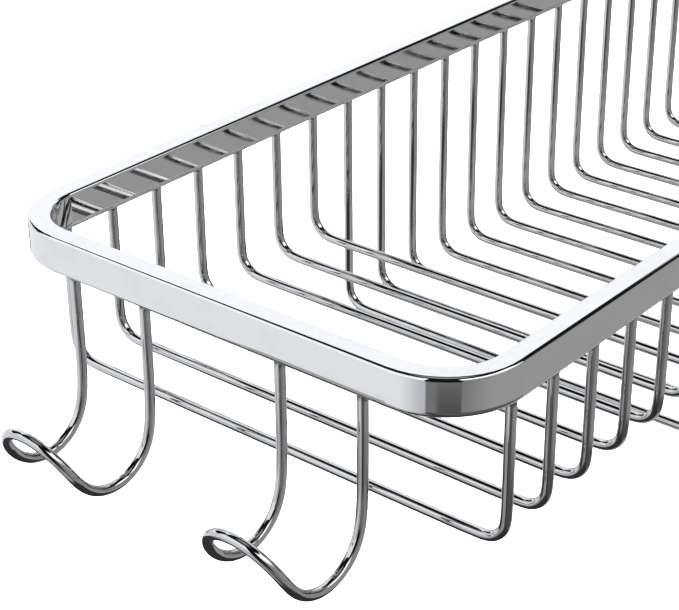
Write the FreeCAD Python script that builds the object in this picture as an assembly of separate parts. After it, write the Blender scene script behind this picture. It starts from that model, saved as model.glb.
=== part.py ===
import FreeCAD, Part
import math
import os

# Wall-mounted wire shower basket, all sizes in millimetres.
# +Z is up, +Y points at the wall, X runs along the basket with the hooks at its -X end.
# The origin is half way between the two wall posts, on the plane of the wall.

# Rim: one flat bar bent on edge into a closed ring
RIM_LENGTH = 396.0
RIM_WIDTH = 132.0
BAR_THICKNESS = 5.5
BAR_HEIGHT = 9.0
RIM_CORNER_RADIUS = 19.0
EDGE_ROUND = 1.0

# Cross wires: each one is a U welded under the front and back bars
WIRE_DIAMETER = 2.5
WIRE_BEND_RADIUS = 6.0
FIRST_WIRE_INSET = 19.3
TRAY_WIRES = 7
BASKET_WIRES = 18
TRAY_DEPTH = 44.2
BASKET_DEPTH = 72.2

# Hooks: each one is a hairpin of wire bent forward into a J under the end bar.
# Past the J the two sides bend in at the neck, run on a little and meet in a round tip.
HOOK_WIRE_DIAMETER = 2.5
HOOK_SPACING = 60.4
HOOKS_TOWARDS_WALL = 1.8
HOOK_LEG_GAP = 21.7
HOOK_LEG_LENGTH = 29.2
HOOK_BEND_RADIUS = 12.2
HOOK_BEND_ANGLE = 155.5
HOOK_NECK_RADIUS = 7.0
HOOK_NECK_ANGLE = 30.0
HOOK_NECK_RUN = 2.5

# Wall posts: round stubs that sit in blind sockets in the back bar
POST_DIAMETER = 6.0
POST_STAND_OFF = 2.5
POST_CLEARANCE = 0.1
SOCKET_DEPTH = 4.0
POST_GAP_FROM_WIRES = 3.5
THREAD_DIAMETER = 4.0
THREAD_DEPTH = 3.4
POST_CHAMFER = 0.4

# Set screws: one under each post, up through the back bar into a dimple in the post
SET_SCREW_DIAMETER = 2.5
SET_SCREW_LENGTH = 2.8
SET_SCREW_RECESS = 0.2
SET_SCREW_SETBACK = 2.4
SET_SCREW_CLEARANCE = 0.05
HEX_KEY_SIZE = 1.3
HEX_KEY_DEPTH = 1.1

# Places worked out from the sizes above
X_LEFT = -RIM_LENGTH / 2
X_RIGHT = RIM_LENGTH / 2
Y_BACK = -POST_STAND_OFF
Y_FRONT = Y_BACK - RIM_WIDTH
Y_HOOKS = (Y_BACK + Y_FRONT) / 2 + HOOKS_TOWARDS_WALL
Z_TOP = BAR_HEIGHT / 2
Z_UNDER = -BAR_HEIGHT / 2
Y_BACK_LEG = Y_BACK - BAR_THICKNESS / 2
Y_FRONT_LEG = Y_FRONT + BAR_THICKNESS / 2
WIRE_COUNT = TRAY_WIRES + BASKET_WIRES
WIRE_PITCH = (RIM_LENGTH - 2 * FIRST_WIRE_INSET) / (WIRE_COUNT - 1)
POST_X = X_RIGHT - FIRST_WIRE_INSET - POST_GAP_FROM_WIRES * WIRE_PITCH
Y_SOCKET_FLOOR = Y_BACK - SOCKET_DEPTH
Y_SET_SCREW = Y_BACK - SET_SCREW_SETBACK
SET_SCREW_BOTTOM = Z_UNDER + SET_SCREW_RECESS

UP = FreeCAD.Vector(0, 0, 1)
TO_WALL = FreeCAD.Vector(0, 1, 0)


def at(x, y, z):
    return FreeCAD.Vector(x, y, z)


def line(start, end):
    return Part.LineSegment(start, end).toShape()


def arc(start, middle, end):
    return Part.Arc(start, middle, end).toShape()


def bent_wire(edges, start_direction, diameter):
    """Round wire swept along a path of straight runs and tangent arcs."""
    path = Part.Wire(edges)
    start = edges[0].Vertexes[0].Point
    profile = Part.Wire(Part.makeCircle(diameter / 2, start, start_direction))
    return path.makePipeShell([profile], True, False)


def rounded_slab(inset):
    """Block of the rim's height whose outline is the rim's, moved in by inset."""
    radius = RIM_CORNER_RADIUS - inset
    length = RIM_LENGTH - 2 * inset
    width = RIM_WIDTH - 2 * inset
    corner = at(X_LEFT + inset, Y_FRONT + inset, Z_UNDER)
    slab = Part.makeBox(length, width, BAR_HEIGHT, corner)
    uprights = [e for e in slab.Edges if e.BoundBox.ZLength > BAR_HEIGHT / 2]
    return slab.makeFillet(radius, uprights)


def post_places():
    return [-POST_X, POST_X]


def make_rim():
    ring = rounded_slab(0).cut(rounded_slab(BAR_THICKNESS))
    long_edges = [e for e in ring.Edges if e.BoundBox.ZLength < BAR_HEIGHT / 2]
    ring = ring.makeFillet(EDGE_ROUND, long_edges)
    socket_radius = POST_DIAMETER / 2 + POST_CLEARANCE
    screw_radius = SET_SCREW_DIAMETER / 2 + SET_SCREW_CLEARANCE
    for x in post_places():
        ring = ring.cut(Part.makeCylinder(socket_radius, SOCKET_DEPTH, at(x, Y_SOCKET_FLOOR, 0), TO_WALL))
        ring = ring.cut(Part.makeCylinder(screw_radius, BAR_HEIGHT / 2, at(x, Y_SET_SCREW, Z_UNDER), UP))
    return ring


def make_cross_wire(index, depth):
    """U wire number index, with its bottom run's centre at depth below the rim's top."""
    x = X_LEFT + FIRST_WIRE_INSET + index * WIRE_PITCH
    z_run = Z_TOP - depth
    z_bend = z_run + WIRE_BEND_RADIUS
    y_run_front = Y_FRONT_LEG + WIRE_BEND_RADIUS
    y_run_back = Y_BACK_LEG - WIRE_BEND_RADIUS
    sag = WIRE_BEND_RADIUS * math.sin(math.radians(45))
    edges = [
        line(at(x, Y_FRONT_LEG, Z_UNDER), at(x, Y_FRONT_LEG, z_bend)),
        arc(at(x, Y_FRONT_LEG, z_bend), at(x, y_run_front - sag, z_bend - sag), at(x, y_run_front, z_run)),
        line(at(x, y_run_front, z_run), at(x, y_run_back, z_run)),
        arc(at(x, y_run_back, z_run), at(x, y_run_back + sag, z_bend - sag), at(x, Y_BACK_LEG, z_bend)),
        line(at(x, Y_BACK_LEG, z_bend), at(x, Y_BACK_LEG, Z_UNDER)),
    ]
    return bent_wire(edges, UP, WIRE_DIAMETER)


def make_hook(y_centre):
    """Hairpin hook: two straight legs, two J bends side by side, two necks and a round tip."""
    x_leg = X_LEFT + BAR_THICKNESS / 2
    z_bend = Z_UNDER - HOOK_LEG_LENGTH
    half_gap = HOOK_LEG_GAP / 2
    neck = math.radians(HOOK_NECK_ANGLE)

    def on_bend(side, degrees):
        """Point on the J bend at side -1 or 1, after it has turned by degrees."""
        turn = math.radians(degrees)
        x = x_leg - HOOK_BEND_RADIUS * (1 - math.cos(turn))
        return at(x, y_centre + side * half_gap, z_bend - HOOK_BEND_RADIUS * math.sin(turn))

    def past_bend(along, across):
        """Point in the sloping plane past the J: along it from the bend's end, across from its middle."""
        turn = math.radians(HOOK_BEND_ANGLE)
        end = on_bend(0, HOOK_BEND_ANGLE)
        return end + at(-math.sin(turn) * along, across, -math.cos(turn) * along)

    def on_neck(side, turn):
        along = HOOK_NECK_RADIUS * math.sin(turn)
        return past_bend(along, side * (half_gap - HOOK_NECK_RADIUS * (1 - math.cos(turn))))

    run_along = HOOK_NECK_RADIUS * math.sin(neck) + HOOK_NECK_RUN * math.cos(neck)
    run_across = half_gap - HOOK_NECK_RADIUS * (1 - math.cos(neck)) - HOOK_NECK_RUN * math.sin(neck)
    tip_radius = run_across / math.cos(neck)
    tip = past_bend(run_along + tip_radius * (1 - math.sin(neck)), 0)

    def side_edges(side):
        """Edges of one side of the hook, from its weld to the start of the tip."""
        top = at(x_leg, y_centre + side * half_gap, Z_UNDER)
        return [
            line(top, on_bend(side, 0)),
            arc(on_bend(side, 0), on_bend(side, HOOK_BEND_ANGLE / 2), on_bend(side, HOOK_BEND_ANGLE)),
            arc(on_neck(side, 0), on_neck(side, neck / 2), on_neck(side, neck)),
            line(on_neck(side, neck), past_bend(run_along, side * run_across)),
        ]

    tip_edge = arc(past_bend(run_along, run_across), tip, past_bend(run_along, -run_across))
    edges = side_edges(1) + [tip_edge] + side_edges(-1)[::-1]
    return bent_wire(edges, UP, HOOK_WIRE_DIAMETER)


def make_wall_post(x):
    """Post with a threaded hole for the wall stud and a dimple for the set screw."""
    length = SOCKET_DEPTH - POST_CLEARANCE + POST_STAND_OFF
    post = Part.makeCylinder(POST_DIAMETER / 2, length, at(x, -length, 0), TO_WALL)
    inner_rim = [e for e in post.Edges if e.BoundBox.YMax < -length / 2]
    post = post.makeChamfer(POST_CHAMFER, inner_rim)
    post = post.cut(Part.makeCylinder(THREAD_DIAMETER / 2, THREAD_DEPTH, at(x, -THREAD_DEPTH, 0), TO_WALL))
    dimple_radius = SET_SCREW_DIAMETER / 2 + SET_SCREW_CLEARANCE
    dimple_height = SET_SCREW_BOTTOM + SET_SCREW_LENGTH + SET_SCREW_CLEARANCE - Z_UNDER
    return post.cut(Part.makeCylinder(dimple_radius, dimple_height, at(x, Y_SET_SCREW, Z_UNDER), UP))


def make_set_screw(x):
    screw = Part.makeCylinder(SET_SCREW_DIAMETER / 2, SET_SCREW_LENGTH, at(x, Y_SET_SCREW, SET_SCREW_BOTTOM), UP)
    corner_radius = HEX_KEY_SIZE / math.sqrt(3)
    corners = []
    for k in range(7):
        angle = math.radians(60 * k)
        x_corner = x + corner_radius * math.cos(angle)
        corners.append(at(x_corner, Y_SET_SCREW + corner_radius * math.sin(angle), SET_SCREW_BOTTOM))
    key_hole = Part.Face(Part.makePolygon(corners)).extrude(UP * HEX_KEY_DEPTH)
    return screw.cut(key_hole)


def save(shape, node):
    shape.exportStep("parts/" + node + ".step")
    print(node, "solids", len(shape.Solids), "valid", shape.isValid(), "volume", round(shape.Volume, 1))


os.makedirs("parts", exist_ok=True)
save(make_rim(), "rim")
for number in range(WIRE_COUNT):
    if number < TRAY_WIRES:
        save(make_cross_wire(number, TRAY_DEPTH), "tray_wire_%02d" % (number + 1))
    else:
        save(make_cross_wire(number, BASKET_DEPTH), "basket_wire_%02d" % (number + 1 - TRAY_WIRES))
save(make_hook(Y_HOOKS + HOOK_SPACING / 2), "hook_back")
save(make_hook(Y_HOOKS - HOOK_SPACING / 2), "hook_front")
save(make_wall_post(-POST_X), "wall_post_left")
save(make_wall_post(POST_X), "wall_post_right")
save(Part.makeCompound([make_set_screw(x) for x in post_places()]), "set_screws")
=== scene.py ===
import math

import bmesh
import bpy
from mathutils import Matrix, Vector


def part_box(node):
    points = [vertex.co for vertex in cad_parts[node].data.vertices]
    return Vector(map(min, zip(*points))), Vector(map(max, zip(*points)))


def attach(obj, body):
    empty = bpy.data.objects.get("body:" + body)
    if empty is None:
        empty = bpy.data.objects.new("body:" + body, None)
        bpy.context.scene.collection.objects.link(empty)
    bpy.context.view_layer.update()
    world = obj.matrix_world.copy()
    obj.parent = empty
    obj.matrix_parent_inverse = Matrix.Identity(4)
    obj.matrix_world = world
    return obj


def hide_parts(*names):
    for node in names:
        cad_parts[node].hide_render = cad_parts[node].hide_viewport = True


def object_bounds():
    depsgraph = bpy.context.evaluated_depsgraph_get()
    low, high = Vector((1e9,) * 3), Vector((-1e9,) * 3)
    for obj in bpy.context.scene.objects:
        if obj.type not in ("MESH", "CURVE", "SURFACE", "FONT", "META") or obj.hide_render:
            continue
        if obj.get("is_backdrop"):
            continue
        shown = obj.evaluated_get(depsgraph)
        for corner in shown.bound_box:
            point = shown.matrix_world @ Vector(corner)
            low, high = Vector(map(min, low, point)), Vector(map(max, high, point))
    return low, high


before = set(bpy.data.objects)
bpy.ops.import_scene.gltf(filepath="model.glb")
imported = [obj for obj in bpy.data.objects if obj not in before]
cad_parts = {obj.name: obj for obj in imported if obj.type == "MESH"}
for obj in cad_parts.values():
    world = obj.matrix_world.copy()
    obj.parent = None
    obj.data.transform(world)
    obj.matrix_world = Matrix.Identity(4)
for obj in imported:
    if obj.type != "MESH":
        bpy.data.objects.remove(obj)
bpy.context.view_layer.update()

# Camera, placed from the rim's top corner at the hook end, away from the wall.
# Metres and degrees. The heading turns from +X towards +Y.
CAMERA_OFFSET = (-0.23827, -0.16797, 0.17186)
CAMERA_HEADING = 39.745
CAMERA_TILT = 27.586
CAMERA_ROLL = -0.59
CAMERA_LENS = 96.73
CAMERA_SENSOR = 36.0
CLIP_NEAR = 0.01
CLIP_FAR = 50.0

# White backdrop, in metres: a floor that sweeps up into a round wall
FLOOR_DROP = 0.45
BACKDROP_RADIUS = 5.0
BACKDROP_SWEEP = 1.0
BACKDROP_HEIGHT = 5.0
BACKDROP_SIDES = 96
FLOOR_RINGS = (0.1, 0.4, 0.7)
SWEEP_STEPS = 10
SWEEP_STEP = 10.0
BACKDROP_WHITE = (0.9, 0.9, 0.9, 1)
BACKDROP_ROUGHNESS = 0.9
BACKDROP_GLOW = 0.45

# Softbox over the object, in metres and watts
SOFTBOX_SIZE = 4.0
SOFTBOX_RISE = 2.0
SOFTBOX_POWER = 260

# Sky brightness, as emitted strength
HIGH_SKY = 1.95
LEFT_SKY = 1.4
FAR_SKY = 1.39
LOW_LEFT = 1.1
LOW_LEFT_NEAR = 0.7
RIGHT_WALL = 0.42
RIGHT_WALL_NEAR = 0.265
STEEP_FLOOR = 0.62
CAMERA_SIDE = 0.1
CAMERA_SIDE_UPPER = 0.24
NEAR_FLOOR = 0.12
FAR_FLOOR = 0.12
ZENITH = 0.4
DARK = 0.01
SKY_TINT = (0.93, 0.955, 1.0, 1.0)
WALL_TINT = (0.965, 0.965, 0.965, 1.0)

# Where each part of the sky lies, in degrees. Turns start behind the camera, run from -180 to
# 180 and grow towards the camera's right. A pair is either a part's two edges or the start and
# end of a soft change.
LOW_LEFT_TURNS = (-62.0, -26.0)
RIGHT_WALL_FADE = (14.0, 62.0)
RIGHT_WALL_TURNS = (12.0, 150.0)
RIGHT_WALL_TOP = (34.0, 20.0)
LEFT_SKY_TURNS = (-122.0, -30.0)
FAR_SKY_TURNS = (145.0, 155.0)
LOW_SKY_TOP = (14.0, 2.0)
STEEP_FLOOR_FADE = (-32.0, -50.0)
CAMERA_SIDE_TURNS = (-25.0, 18.0)
CAMERA_SIDE_STEP = (-31.2, -29.2)
CAMERA_SIDE_LEFT = (-6.0, -17.0)
CAMERA_SIDE_TOP = (-20.0, -5.0)
NEAR_FLOOR_TURNS = (-25.0, 105.0)
NEAR_FLOOR_FADE = (-31.2, -34.0)
FAR_FLOOR_TURNS = (148.0, 158.0)
FAR_FLOOR_FADE = (-8.0, -16.0)
OPENING_LEAN = (0.0, 14.0)
OPENING_EDGE = (119.0, 101.0)
OPENING_END = (160.0, 155.0)
LIT_PART_TURNS = (128.0, 136.0)
LIT_PART_HEIGHTS = (-8.0, 36.0)
HANGING_TURNS = (-145.0, -108.0)
HANGING_HEIGHTS = (12.0, 44.0)
CEILING_FAR = 52.0
CEILING_LOW = 42.0
CEILING_HIGH = 50.5
CEILING_FAR_TURNS = (-136.0, -132.0)
CEILING_RISE_TURNS = (-95.0, -60.0)
ZENITH_FADE = (68.0, 80.0)
WALL_TINT_TURNS = (-25.0, 150.0)

# Grey card under the object, shown only in reflections: its drop, and its margins past the rim.
# It is mid grey, with a dark part under the hooks that reaches in under the basket.
TABLE_DROP = 0.051
TABLE_MARGIN_HOOKS = 0.152
TABLE_MARGIN_FAR = 0.15
TABLE_MARGIN_FRONT = 0.06
TABLE_MARGIN_WALL = 0.06
TABLE_LIGHT = 0.5
TABLE_LIGHT_DARK = 0.05
TABLE_LIGHT_HOOKS = 0.5
DARK_REACH_FRONT = 0.062
DARK_REACH_WALL = 0.02
DARK_STEP_FRONT = 0.06
DARK_STEP_WALL = 0.085
DARK_SOFTNESS = 0.01
BEYOND_HOOKS_START = 0.055
BEYOND_HOOKS_FULL = 0.085
BEYOND_HOOKS_FRONT = 0.03

# Bent wires, repeated from the CAD where its boxes don't give them, in metres and degrees
WIRE_BEND = 0.006
WIRE_SIDES = 24
RUN_STEP = 0.0025
BEND_STEP = 5.0
WIRE_EASING = 12
HOOK_WIRE = 0.0025
HOOK_BEND = 0.0122
HOOK_BEND_ANGLE = 155.5
HOOK_NECK = 0.007
HOOK_NECK_ANGLE = 30.0
HOOK_NECK_RUN = 0.0025
HOOK_EASING = 30
WELD_LENGTH = 0.0012
WELD_FLARE = 0.00045
WELD_SHARES = (0, 0.2, 0.4, 0.6, 0.8, 1.0)

# Metal finishes. A grain is its length in metres along X, Y and Z.
MICRO = 1e-6
MARKS_GRAIN = (0.011, 0.009, 0.007)
MARKS_SHADE = 0.3
WAVES_GRAIN = (0.014, 0.014, 0.006)
BUFFED_EDGE = 0.0016
BUFFED_CURVE = 50.0
EDGE_START = 0.0011
EDGE_FULL = 0.0004
EDGE_GRAIN = (0.0015, 0.0015, 0.0004)
EDGE_ROUGHNESS = 0.06
EDGE_SHADE = 0.3
WELD_GRAIN = (0.0006, 0.0006, 0.0005)
WELD_SPECKLE = 0.6
WELD_PLAIN = 0.4
WELD_SHADE = 0.8
WELD_ROUGHNESS = 0.16
WELD_RIPPLE = 25 * MICRO
WIRE_WELD_REACH = 0.0016
HOOK_WELD_REACH = 0.002


def new_tree(owner):
    """The owner's node tree, emptied."""
    owner.use_nodes = True
    owner.node_tree.nodes.clear()
    return owner.node_tree


def link_mesh(name, bm):
    """A new object in the scene with the mesh built in bm."""
    mesh = bpy.data.meshes.new(name)
    bm.to_mesh(mesh)
    bm.free()
    made = bpy.data.objects.new(name, mesh)
    bpy.context.scene.collection.objects.link(made)
    return made


class Graph:
    """Short calls for making and joining nodes in one tree."""

    def __init__(self, tree):
        self.tree = tree

    def node(self, kind, **settings):
        made = self.tree.nodes.new(kind)
        for name, value in settings.items():
            setattr(made, name, value)
        return made

    def feed(self, socket, value):
        if isinstance(value, bpy.types.NodeSocket):
            self.tree.links.new(value, socket)
        else:
            socket.default_value = value

    def split(self, vector):
        """The vector's X, Y and Z."""
        made = self.node("ShaderNodeSeparateXYZ")
        self.feed(made.inputs[0], vector)
        return made.outputs

    def math(self, operation, *values, clamp=False):
        made = self.node("ShaderNodeMath", operation=operation, use_clamp=clamp)
        for index, value in enumerate(values):
            self.feed(made.inputs[index], value)
        return made.outputs[0]

    def ramp(self, value, low, high, to_low=0.0, to_high=1.0):
        """Smooth step of value from low to high."""
        made = self.node("ShaderNodeMapRange", interpolation_type="SMOOTHSTEP", clamp=True)
        for index, number in enumerate((value, low, high, to_low, to_high)):
            self.feed(made.inputs[index], number)
        return made.outputs[0]

    def band(self, value, low, high, soft):
        """1 where value lies between low and high, with soft edges."""
        rise = self.ramp(value, low - soft, low + soft)
        fall = self.ramp(value, high - soft, high + soft, 1.0, 0.0)
        return self.math("MULTIPLY", rise, fall)

    def mix(self, share, first, second):
        """first where share is 0, second where it is 1, for plain numbers."""
        made = self.node("ShaderNodeMix", data_type="FLOAT", clamp_factor=True)
        self.feed(made.inputs[0], share)
        self.feed(made.inputs[2], first)
        self.feed(made.inputs[3], second)
        return made.outputs[0]

    def tint(self, share, first, second):
        """first where share is 0, second where it is 1, for colours."""
        made = self.node("ShaderNodeMix", data_type="RGBA", clamp_factor=True)
        self.feed(made.inputs["Factor"], share)
        made.inputs[6].default_value = first
        made.inputs[7].default_value = second
        return made.outputs[2]

    def output(self, kind, shader):
        """Joins the shader to a new output node."""
        self.feed(self.node(kind).inputs[0], shader.outputs[0])


# --- Camera ---------------------------------------------------------------------------------

def camera_axes():
    """The camera's right, up and forward directions."""
    heading = math.radians(CAMERA_HEADING)
    tilt = math.radians(CAMERA_TILT)
    roll = math.radians(CAMERA_ROLL)
    ahead = Vector((
        math.cos(tilt) * math.cos(heading),
        math.cos(tilt) * math.sin(heading),
        -math.sin(tilt),
    ))
    level = ahead.cross(Vector((0, 0, 1))).normalized()
    upright = level.cross(ahead)
    right = math.cos(roll) * level + math.sin(roll) * upright
    up = math.cos(roll) * upright - math.sin(roll) * level
    return right, up, ahead


def make_camera():
    low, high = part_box("rim")
    corner = Vector((low.x, low.y, high.z))
    data = bpy.data.cameras.new("camera")
    data.lens = CAMERA_LENS
    data.sensor_fit = "HORIZONTAL"
    data.sensor_width = CAMERA_SENSOR
    data.clip_start = CLIP_NEAR
    data.clip_end = CLIP_FAR
    camera = bpy.data.objects.new("camera", data)
    bpy.context.scene.collection.objects.link(camera)
    right, up, ahead = camera_axes()
    place = corner + Vector(CAMERA_OFFSET)
    matrix = camera.matrix_world.copy()
    for row in range(3):
        matrix[row] = (right[row], up[row], -ahead[row], place[row])
    camera.matrix_world = matrix
    bpy.context.scene.camera = camera


# --- Studio ---------------------------------------------------------------------------------

class Sky:
    """Brightness of the studio that reflections show, laid on part by part."""

    def __init__(self, graph):
        self.graph = graph
        x, y, z = graph.split(graph.node("ShaderNodeTexCoord").outputs["Generated"])
        self.elevation = graph.math("DEGREES", graph.math("ARCSINE", z))
        cos_back = -math.cos(math.radians(CAMERA_HEADING))
        sin_back = -math.sin(math.radians(CAMERA_HEADING))
        along = graph.math("ADD", graph.math("MULTIPLY", x, cos_back),
                           graph.math("MULTIPLY", y, sin_back))
        across = graph.math("SUBTRACT", graph.math("MULTIPLY", y, cos_back),
                            graph.math("MULTIPLY", x, sin_back))
        self.turn = graph.math("DEGREES", graph.math("ARCTAN2", across, along))
        self.light = HIGH_SKY

    def paint(self, share, brightness):
        """Covers what is there with the brightness where share is 1."""
        self.light = self.graph.mix(share, self.light, brightness)

    def walls(self):
        """Bright all round, less so at the left and far side and low down; grey on the right."""
        graph = self.graph
        self.paint(graph.band(self.turn, *LEFT_SKY_TURNS, soft=5.0), LEFT_SKY)
        self.paint(graph.ramp(graph.math("ABSOLUTE", self.turn), *FAR_SKY_TURNS), FAR_SKY)
        low_left = graph.ramp(self.turn, *LOW_LEFT_TURNS, LOW_LEFT, LOW_LEFT_NEAR)
        self.paint(graph.ramp(self.elevation, *LOW_SKY_TOP), low_left)
        low_right = graph.ramp(self.turn, *RIGHT_WALL_FADE, RIGHT_WALL_NEAR, RIGHT_WALL)
        right_half = graph.band(self.turn, *RIGHT_WALL_TURNS, soft=4.0)
        below_top = graph.ramp(self.elevation, *RIGHT_WALL_TOP)
        self.paint(graph.math("MULTIPLY", right_half, below_top), low_right)
        self.paint(graph.ramp(self.elevation, *STEEP_FLOOR_FADE), STEEP_FLOOR)

    def camera_side(self):
        """Dark side behind the camera, black above and a little lighter in the middle."""
        graph = self.graph
        light = graph.ramp(self.elevation, *CAMERA_SIDE_STEP, CAMERA_SIDE, CAMERA_SIDE_UPPER)
        light = graph.mix(graph.ramp(self.turn, *CAMERA_SIDE_LEFT), light, CAMERA_SIDE_UPPER)
        light = graph.mix(graph.ramp(self.elevation, *CAMERA_SIDE_TOP), light, DARK)
        self.paint(graph.band(self.turn, *CAMERA_SIDE_TURNS, soft=1.5), light)

    def floors(self):
        """Dark floor below the camera and on the far side."""
        graph = self.graph
        near = graph.math("MULTIPLY", graph.band(self.turn, *NEAR_FLOOR_TURNS, soft=3.0),
                          graph.ramp(self.elevation, *NEAR_FLOOR_FADE))
        self.paint(near, NEAR_FLOOR)
        behind = graph.ramp(graph.math("ABSOLUTE", self.turn), *FAR_FLOOR_TURNS)
        far = graph.math("MULTIPLY", behind, graph.ramp(self.elevation, *FAR_FLOOR_FADE))
        self.paint(far, FAR_FLOOR)

    def opening(self):
        """Dark opening at the far right with a leaning edge, around a part that stays lit."""
        graph = self.graph
        edge = graph.ramp(self.elevation, *OPENING_LEAN, *OPENING_EDGE)
        past_edge = graph.ramp(graph.math("SUBTRACT", self.turn, edge), -3.0, 3.0)
        opening = graph.math("MULTIPLY", past_edge, graph.ramp(self.turn, *OPENING_END))
        lit_part = graph.math("MULTIPLY", graph.ramp(self.turn, *LIT_PART_TURNS),
                              graph.band(self.elevation, *LIT_PART_HEIGHTS, soft=3.0))
        self.paint(graph.math("SUBTRACT", opening, lit_part, clamp=True), DARK)

    def ceiling(self):
        """Dark ceiling with a piece that hangs down at the far left, and a grey zenith."""
        graph = self.graph
        hanging = graph.math("MULTIPLY", graph.band(self.turn, *HANGING_TURNS, soft=2.0),
                             graph.band(self.elevation, *HANGING_HEIGHTS, soft=1.5))
        self.paint(hanging, DARK)
        edge = graph.ramp(self.turn, *CEILING_FAR_TURNS, CEILING_FAR, CEILING_LOW)
        edge = graph.mix(graph.ramp(self.turn, *CEILING_RISE_TURNS), edge, CEILING_HIGH)
        self.paint(graph.ramp(graph.math("SUBTRACT", self.elevation, edge), -0.8, 0.8), DARK)
        self.paint(graph.ramp(self.elevation, *ZENITH_FADE), ZENITH)


def make_sky():
    """White studio tent with dark openings, ceiling and floors, seen mostly as reflections."""
    world = bpy.data.worlds.new("studio")
    bpy.context.scene.world = world
    graph = Graph(new_tree(world))
    sky = Sky(graph)
    sky.walls()
    sky.camera_side()
    sky.floors()
    sky.opening()
    sky.ceiling()
    tint = graph.tint(graph.band(sky.turn, *WALL_TINT_TURNS, soft=8.0), SKY_TINT, WALL_TINT)
    background = graph.node("ShaderNodeBackground")
    graph.feed(background.inputs["Color"], tint)
    graph.feed(background.inputs["Strength"], sky.light)
    graph.output("ShaderNodeOutputWorld", background)


def backdrop_profile():
    """Radius and height of each ring, from the middle of the floor to the top of the wall."""
    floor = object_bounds()[0][2] - FLOOR_DROP
    profile = [(BACKDROP_RADIUS * share, floor) for share in FLOOR_RINGS]
    for step in range(SWEEP_STEPS):
        turn = math.radians(SWEEP_STEP * step)
        profile.append((BACKDROP_RADIUS + BACKDROP_SWEEP * math.sin(turn),
                        floor + BACKDROP_SWEEP * (1 - math.cos(turn))))
    profile.append((BACKDROP_RADIUS + BACKDROP_SWEEP, floor + BACKDROP_HEIGHT))
    return profile


def backdrop_finish():
    """Plain pale backdrop that glows a little, so it stays white."""
    material = bpy.data.materials.new("backdrop_white")
    graph = Graph(new_tree(material))
    shader = graph.node("ShaderNodeBsdfPrincipled")
    shader.inputs["Base Color"].default_value = BACKDROP_WHITE
    shader.inputs["Roughness"].default_value = BACKDROP_ROUGHNESS
    shader.inputs["Emission Color"].default_value = (1, 1, 1, 1)
    shader.inputs["Emission Strength"].default_value = BACKDROP_GLOW
    graph.output("ShaderNodeOutputMaterial", shader)
    return material


def make_backdrop():
    """White floor that curves up into a wall all round. Reflections see the sky instead."""
    bm = bmesh.new()
    rings = []
    angles = [math.tau * side / BACKDROP_SIDES for side in range(BACKDROP_SIDES)]
    for radius, height in backdrop_profile():
        rings.append([bm.verts.new((radius * math.cos(a), radius * math.sin(a), height))
                      for a in angles])
    bm.faces.new(rings[0])
    for inner, outer in zip(rings, rings[1:]):
        for side in range(BACKDROP_SIDES):
            follow = (side + 1) % BACKDROP_SIDES
            bm.faces.new((inner[side], outer[side], outer[follow], inner[follow]))
    for face in bm.faces:
        face.smooth = True
    backdrop = link_mesh("backdrop", bm)
    backdrop.visible_glossy = False
    backdrop.data.materials.append(backdrop_finish())
    backdrop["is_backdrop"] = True


def table_finish():
    """Glowing grey, dark from under the hooks to a stepped edge under the basket."""
    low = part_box("rim")[0]
    material = bpy.data.materials.new("table_grey")
    graph = Graph(new_tree(material))
    shader = graph.node("ShaderNodeEmission")
    x, y, _ = graph.split(graph.node("ShaderNodeNewGeometry").outputs["Position"])
    reach = graph.ramp(y, low.y + DARK_STEP_WALL, low.y + DARK_STEP_FRONT,
                       low.x + DARK_REACH_WALL, low.x + DARK_REACH_FRONT)
    under_hooks = graph.ramp(graph.math("SUBTRACT", x, reach), DARK_SOFTNESS, -DARK_SOFTNESS)
    light = graph.mix(under_hooks, TABLE_LIGHT, TABLE_LIGHT_DARK)
    outwards = graph.ramp(x, low.x - BEYOND_HOOKS_START, low.x - BEYOND_HOOKS_FULL)
    beyond_hooks = graph.math("MULTIPLY", outwards,
                              graph.ramp(y, low.y - BEYOND_HOOKS_FRONT, low.y))
    light = graph.mix(beyond_hooks, light, TABLE_LIGHT_HOOKS)
    graph.feed(shader.inputs["Color"], WALL_TINT)
    graph.feed(shader.inputs["Strength"], light)
    graph.output("ShaderNodeOutputMaterial", shader)
    return material


def make_table():
    """Grey card under the object that only its reflections show."""
    low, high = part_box("rim")
    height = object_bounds()[0][2] - TABLE_DROP
    left, right = low.x - TABLE_MARGIN_HOOKS, high.x + TABLE_MARGIN_FAR
    front, back = low.y - TABLE_MARGIN_FRONT, high.y + TABLE_MARGIN_WALL
    corners = ((left, front), (right, front), (right, back), (left, back))
    bm = bmesh.new()
    bm.faces.new([bm.verts.new((x, y, height)) for x, y in corners])
    card = link_mesh("table_card", bm)
    card.visible_camera = False
    card.visible_diffuse = False
    card.visible_shadow = False
    card.data.materials.append(table_finish())
    card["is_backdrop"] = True


def make_softbox():
    """Soft light from above that neither the camera nor reflections see."""
    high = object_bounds()[1]
    data = bpy.data.lights.new("softbox", "AREA")
    data.shape = "RECTANGLE"
    data.size = SOFTBOX_SIZE
    data.size_y = SOFTBOX_SIZE
    data.energy = SOFTBOX_POWER
    softbox = bpy.data.objects.new("softbox", data)
    softbox.location = (0, 0, high[2] + SOFTBOX_RISE)
    softbox.visible_glossy = False
    softbox.visible_camera = False
    bpy.context.scene.collection.objects.link(softbox)


# --- Bent wires -----------------------------------------------------------------------------

def straight(start, end):
    """Points from start to end, evenly spaced, without the last one."""
    steps = max(1, round((end - start).length / RUN_STEP))
    return [start.lerp(end, index / steps) for index in range(steps)]


def bend(centre, from_centre, ahead, degrees):
    """Points of an arc from centre + from_centre in the direction ahead, without the last one."""
    radius = from_centre.length
    steps = max(3, round(degrees / BEND_STEP))
    turns = [math.radians(degrees * index / steps) for index in range(steps)]
    return [centre + math.cos(turn) * from_centre + math.sin(turn) * radius * ahead
            for turn in turns]


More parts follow.
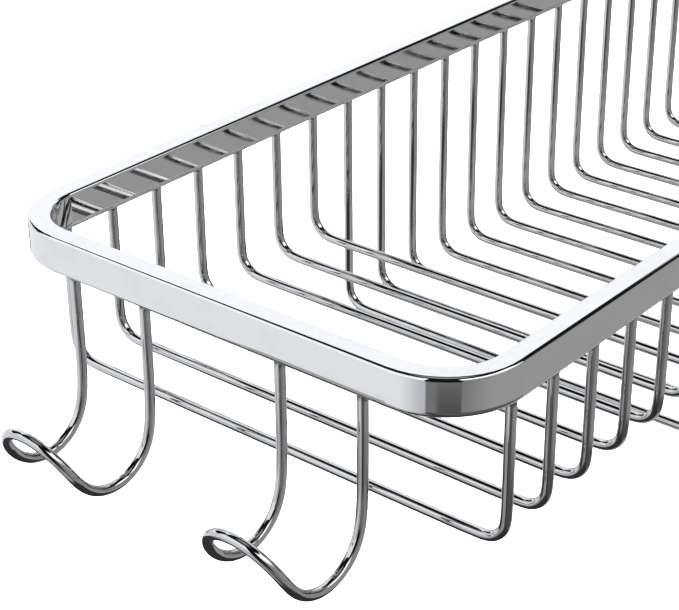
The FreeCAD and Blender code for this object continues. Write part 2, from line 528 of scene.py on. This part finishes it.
def relax(points, rounds):
    """Eases the changes of curvature, as in wire that was bent over a former."""
    for _ in range(rounds):
        eased = [(a + 2 * b + c) / 4 for a, b, c in zip(points, points[1:], points[2:])]
        points = [points[0], *eased, points[-1]]
    return points


def weld_ends(points):
    """Adds close points by both ends, where the wire flares into its weld."""
    def near(end, follow):
        away = (follow - end).normalized()
        return [end + away * WELD_LENGTH * share for share in WELD_SHARES]

    return near(points[0], points[1]) + points[1:-1] + near(points[-1], points[-2])[::-1]


def add_ring(bm, centre, radius, side, other):
    """One ring of the wire's skin, in the plane of side and other."""
    ring = []
    for corner in range(WIRE_SIDES):
        angle = math.tau * corner / WIRE_SIDES
        offset = math.cos(angle) * side + math.sin(angle) * other
        ring.append(bm.verts.new(centre + radius * offset))
    return ring


def add_skin(bm, rings):
    """Smooth faces from ring to ring, and a flat one on each end."""
    for first, second in zip(rings, rings[1:]):
        for corner in range(WIRE_SIDES):
            follow = (corner + 1) % WIRE_SIDES
            bm.faces.new((first[corner], first[follow], second[follow], second[corner]))
    bm.faces.new(rings[0][::-1])
    bm.faces.new(rings[-1])
    for face in bm.faces:
        face.smooth = len(face.verts) == 4


def sweep(name, points, radius):
    """A round wire along the points, with its two ends flared into the weld on the bar."""
    bm = bmesh.new()
    lengths = [0.0]
    for before, after in zip(points, points[1:]):
        lengths.append(lengths[-1] + (after - before).length)
    ahead = (points[1] - points[0]).normalized()
    side = ahead.orthogonal().normalized()
    rings = []
    for index, point in enumerate(points):
        after = points[min(index + 1, len(points) - 1)]
        before = points[max(index - 1, 0)]
        turned = (after - before).normalized()
        side = ahead.rotation_difference(turned) @ side
        ahead = turned
        to_end = min(lengths[index], lengths[-1] - lengths[index])
        flare = WELD_FLARE * max(0.0, 1 - to_end / WELD_LENGTH) ** 2
        rings.append(add_ring(bm, point, radius + flare, side, ahead.cross(side)))
    add_skin(bm, rings)
    piece = link_mesh(name, bm)
    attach(piece, "root")
    return piece


def make_cross_wire(node, material):
    """A U wire along its CAD node: down from the front bar, across, and up to the back bar."""
    low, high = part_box(node)
    radius = (high.x - low.x) / 2
    x = (low.x + high.x) / 2
    front, back = low.y + radius, high.y - radius
    run = low.z + radius
    turn = WIRE_BEND
    down, across = Vector((0, 0, -1)), Vector((0, 1, 0))
    front_centre = Vector((x, front + turn, run + turn))
    back_centre = Vector((x, back - turn, run + turn))
    end = Vector((x, back, high.z))
    points = straight(Vector((x, front, high.z)), front_centre - turn * across)
    points += bend(front_centre, -turn * across, down, 90)
    points += straight(front_centre + turn * down, back_centre + turn * down)
    points += bend(back_centre, turn * down, across, 90)
    points += straight(back_centre + turn * across, end)
    points = relax(points + [end], WIRE_EASING)
    piece = sweep(node + "_bent", weld_ends(points), radius)
    piece.data.materials.append(material)
    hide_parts(node)


def hook_points(low, high):
    """The hairpin's centre line in its CAD box: leg, J bend, neck, round tip, and back again."""
    radius = HOOK_WIRE / 2
    x_leg = high.x - radius
    middle = (low.y + high.y) / 2
    half_gap = (high.y - low.y) / 2 - radius
    z_bend = low.z + radius + HOOK_BEND
    turned = math.radians(HOOK_BEND_ANGLE)
    neck = math.radians(HOOK_NECK_ANGLE)
    # Past the J the wire lies in a sloping plane: along it from the bend's end, across it in Y
    along = Vector((-math.sin(turned), 0, -math.cos(turned)))
    across = Vector((0, 1, 0))
    bend_end = Vector((x_leg - HOOK_BEND * (1 - math.cos(turned)), middle,
                       z_bend - HOOK_BEND * math.sin(turned)))
    run_along = HOOK_NECK * math.sin(neck) + HOOK_NECK_RUN * math.cos(neck)
    run_across = half_gap - HOOK_NECK * (1 - math.cos(neck)) - HOOK_NECK_RUN * math.sin(neck)
    tip_radius = run_across / math.cos(neck)
    tip_centre = bend_end + (run_along - tip_radius * math.sin(neck)) * along

    def half(side):
        """Points from the weld to the start of the tip, on one side of the hook."""
        shift = side * half_gap * across
        centre = Vector((x_leg - HOOK_BEND, middle, z_bend)) + shift
        start = Vector((x_leg, middle, high.z)) + shift
        points = straight(start, centre + Vector((HOOK_BEND, 0, 0)))
        points += bend(centre, Vector((HOOK_BEND, 0, 0)), Vector((0, 0, -1)), HOOK_BEND_ANGLE)
        neck_centre = bend_end + shift - side * HOOK_NECK * across
        points += bend(neck_centre, side * HOOK_NECK * across, along, HOOK_NECK_ANGLE)
        neck_end = side * math.cos(neck) * across + math.sin(neck) * along
        run_end = bend_end + run_along * along + side * run_across * across
        return points + straight(neck_centre + HOOK_NECK * neck_end, run_end)

    tip_from = tip_radius * (math.cos(neck) * across + math.sin(neck) * along)
    tip_ahead = math.cos(neck) * along - math.sin(neck) * across
    tip = bend(tip_centre, tip_from, tip_ahead, 180 - 2 * HOOK_NECK_ANGLE)
    return half(1) + tip + half(-1)[::-1]


def make_hook(node, material):
    """A hairpin hook that replaces its CAD node."""
    low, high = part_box(node)
    points = relax(hook_points(low, high), HOOK_EASING)
    piece = sweep(node + "_bent", weld_ends(points), HOOK_WIRE / 2)
    piece.data.materials.append(material)
    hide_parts(node)


# --- Materials ------------------------------------------------------------------------------

class Metal:
    """One procedural metal finish, built up in layers over the object's own coordinates."""

    def __init__(self, name, bright, dull):
        self.material = bpy.data.materials.new(name)
        self.graph = Graph(new_tree(self.material))
        self.place = self.graph.node("ShaderNodeTexCoord").outputs["Object"]
        self.z = self.graph.split(self.place)[2]
        self.bright = (*bright, 1)
        self.dull = (*dull, 1)
        self.shade = 0.0
        self.roughness = 0.0
        self.height = 0.0

    def noise(self, grain, detail):
        """Noise from 0 to 1 with the given grain."""
        scaled = self.graph.node("ShaderNodeMapping", vector_type="POINT")
        self.graph.feed(scaled.inputs["Vector"], self.place)
        scaled.inputs["Scale"].default_value = [1 / length for length in grain]
        made = self.graph.node("ShaderNodeTexNoise")
        self.graph.feed(made.inputs["Vector"], scaled.outputs[0])
        made.inputs["Scale"].default_value = 1.0
        made.inputs["Detail"].default_value = detail
        return made.outputs[0]

    def add(self, layer, share, amount):
        """Adds share x amount to the shade, roughness or height."""
        graph = self.graph
        more = graph.math("MULTIPLY", share, amount)
        setattr(self, layer, graph.math("ADD", getattr(self, layer), more))

    def finish(self):
        """The material, from its layers."""
        graph = self.graph
        shader = graph.node("ShaderNodeBsdfPrincipled")
        colour = graph.tint(self.shade, self.bright, self.dull)
        graph.feed(shader.inputs["Base Color"], colour)
        shader.inputs["Metallic"].default_value = 1
        graph.feed(shader.inputs["Roughness"], self.roughness)
        bump = graph.node("ShaderNodeBump")
        bump.inputs["Strength"].default_value = 1
        bump.inputs["Distance"].default_value = 1
        graph.feed(bump.inputs["Height"], self.height)
        graph.feed(shader.inputs["Normal"], bump.outputs[0])
        graph.output("ShaderNodeOutputMaterial", shader)
        return self.material

    def polish(self, roughness, smudge, lines, depth, waves):
        """Handling marks, fine polishing lines, and the slow waves of a hand-polished surface."""
        self.add("roughness", 1.0, roughness)
        marks = self.graph.ramp(self.noise(MARKS_GRAIN, 4.0), 0.45, 0.72)
        self.add("roughness", marks, smudge)
        self.add("shade", marks, MARKS_SHADE)
        fine = self.noise(lines, 3.0)
        self.add("roughness", self.graph.ramp(fine, 0.55, 0.8), smudge)
        self.add("height", fine, depth)
        self.add("height", self.noise(WAVES_GRAIN, 1.0), waves)

    def buff_edges(self, low, high):
        """Dull grain along the top and bottom edges, and a soft curve into the lower one."""
        graph = self.graph
        up = graph.ramp(self.z, high - EDGE_START, high - EDGE_FULL)
        down = graph.ramp(self.z, low + EDGE_START, low + EDGE_FULL)
        grain = graph.ramp(self.noise(EDGE_GRAIN, 3.0), 0.35, 0.75)
        buffed = graph.math("MULTIPLY", graph.math("ADD", up, down), grain)
        self.add("roughness", buffed, EDGE_ROUGHNESS)
        self.add("shade", buffed, EDGE_SHADE)
        into = graph.math("MAXIMUM", graph.math("SUBTRACT", low + BUFFED_EDGE, self.z), 0.0)
        self.add("height", graph.math("POWER", into, 2.0), -BUFFED_CURVE)

    def weld(self, bar_bottom, reach):
        """Heat tint, ripple and dullness where the wire is welded under the bar."""
        graph = self.graph
        close = graph.ramp(self.z, bar_bottom - reach, bar_bottom - reach / 4)
        speckle = graph.ramp(self.noise(WELD_GRAIN, 3.0), 0.3, 0.7)
        spots = graph.math("ADD", graph.math("MULTIPLY", speckle, WELD_SPECKLE), WELD_PLAIN)
        stain = graph.math("MULTIPLY", close, spots)
        self.add("shade", stain, WELD_SHADE)
        self.add("roughness", stain, WELD_ROUGHNESS)
        self.add("height", graph.math("MULTIPLY", close, speckle), WELD_RIPPLE)


def bar_finish():
    """Chromed flat bar: mirror faces with buffed edges, softer along the lower edge."""
    low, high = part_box("rim")
    metal = Metal("bar_finish", bright=(0.705, 0.705, 0.71), dull=(0.62, 0.61, 0.6))
    metal.polish(roughness=0.018, smudge=0.035, lines=(0.03, 0.03, 0.00018),
                 depth=0.12 * MICRO, waves=2.2 * MICRO)
    metal.buff_edges(low.z, high.z)
    return metal.finish()


def wire_finish(name, weld_reach):
    """Chromed drawn wire: fine draw lines along the legs, dull heat tint at the welds. Its chrome
    tone is darker than the bar's, as painted shade on the same chrome.
    """
    # Painted shade: the same chrome as the bar, set to a darker tone so the wires and hooks look
    # darker.
    metal = Metal(name, bright=(0.55, 0.55, 0.555), dull=(0.44, 0.43, 0.42))
    metal.polish(roughness=0.03, smudge=0.05, lines=(0.00025, 0.00025, 0.012),
                 depth=0.25 * MICRO, waves=3.0 * MICRO)
    metal.weld(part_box("rim")[0].z, weld_reach)
    return metal.finish()


def post_finish():
    """Brushed wall posts: turning marks round the axis, which runs along Y."""
    metal = Metal("post_finish", bright=(0.6, 0.6, 0.6), dull=(0.48, 0.475, 0.47))
    metal.polish(roughness=0.09, smudge=0.08, lines=(0.02, 0.00016, 0.02),
                 depth=0.8 * MICRO, waves=1.0 * MICRO)
    return metal.finish()


def screw_finish():
    """Blackened grub screws with a grainy oxide skin."""
    metal = Metal("screw_finish", bright=(0.38, 0.38, 0.38), dull=(0.2, 0.195, 0.19))
    metal.polish(roughness=0.2, smudge=0.12, lines=(0.0003, 0.0003, 0.0003),
                 depth=2.0 * MICRO, waves=0.0)
    return metal.finish()


def dress_cad():
    """Swept wires and hooks in place of their CAD nodes, and finishes on all the rest."""
    finishes = {
        "chrome_bar": bar_finish(),
        "chrome_wire": wire_finish("wire_finish", WIRE_WELD_REACH),
        "chrome_hook": wire_finish("hook_finish", HOOK_WELD_REACH),
        "post_steel": post_finish(),
        "screw_steel": screw_finish(),
    }
    for name, node in sorted(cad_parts.items()):
        if "_wire_" in name:
            make_cross_wire(name, finishes["chrome_wire"])
        elif name.startswith("hook_"):
            make_hook(name, finishes["chrome_hook"])
        else:
            for slot in node.material_slots:
                slot.material = finishes[slot.material.name]


make_camera()
make_sky()
make_backdrop()
make_table()
make_softbox()
dress_cad()
bpy.context.scene.view_settings.view_transform = "Standard"
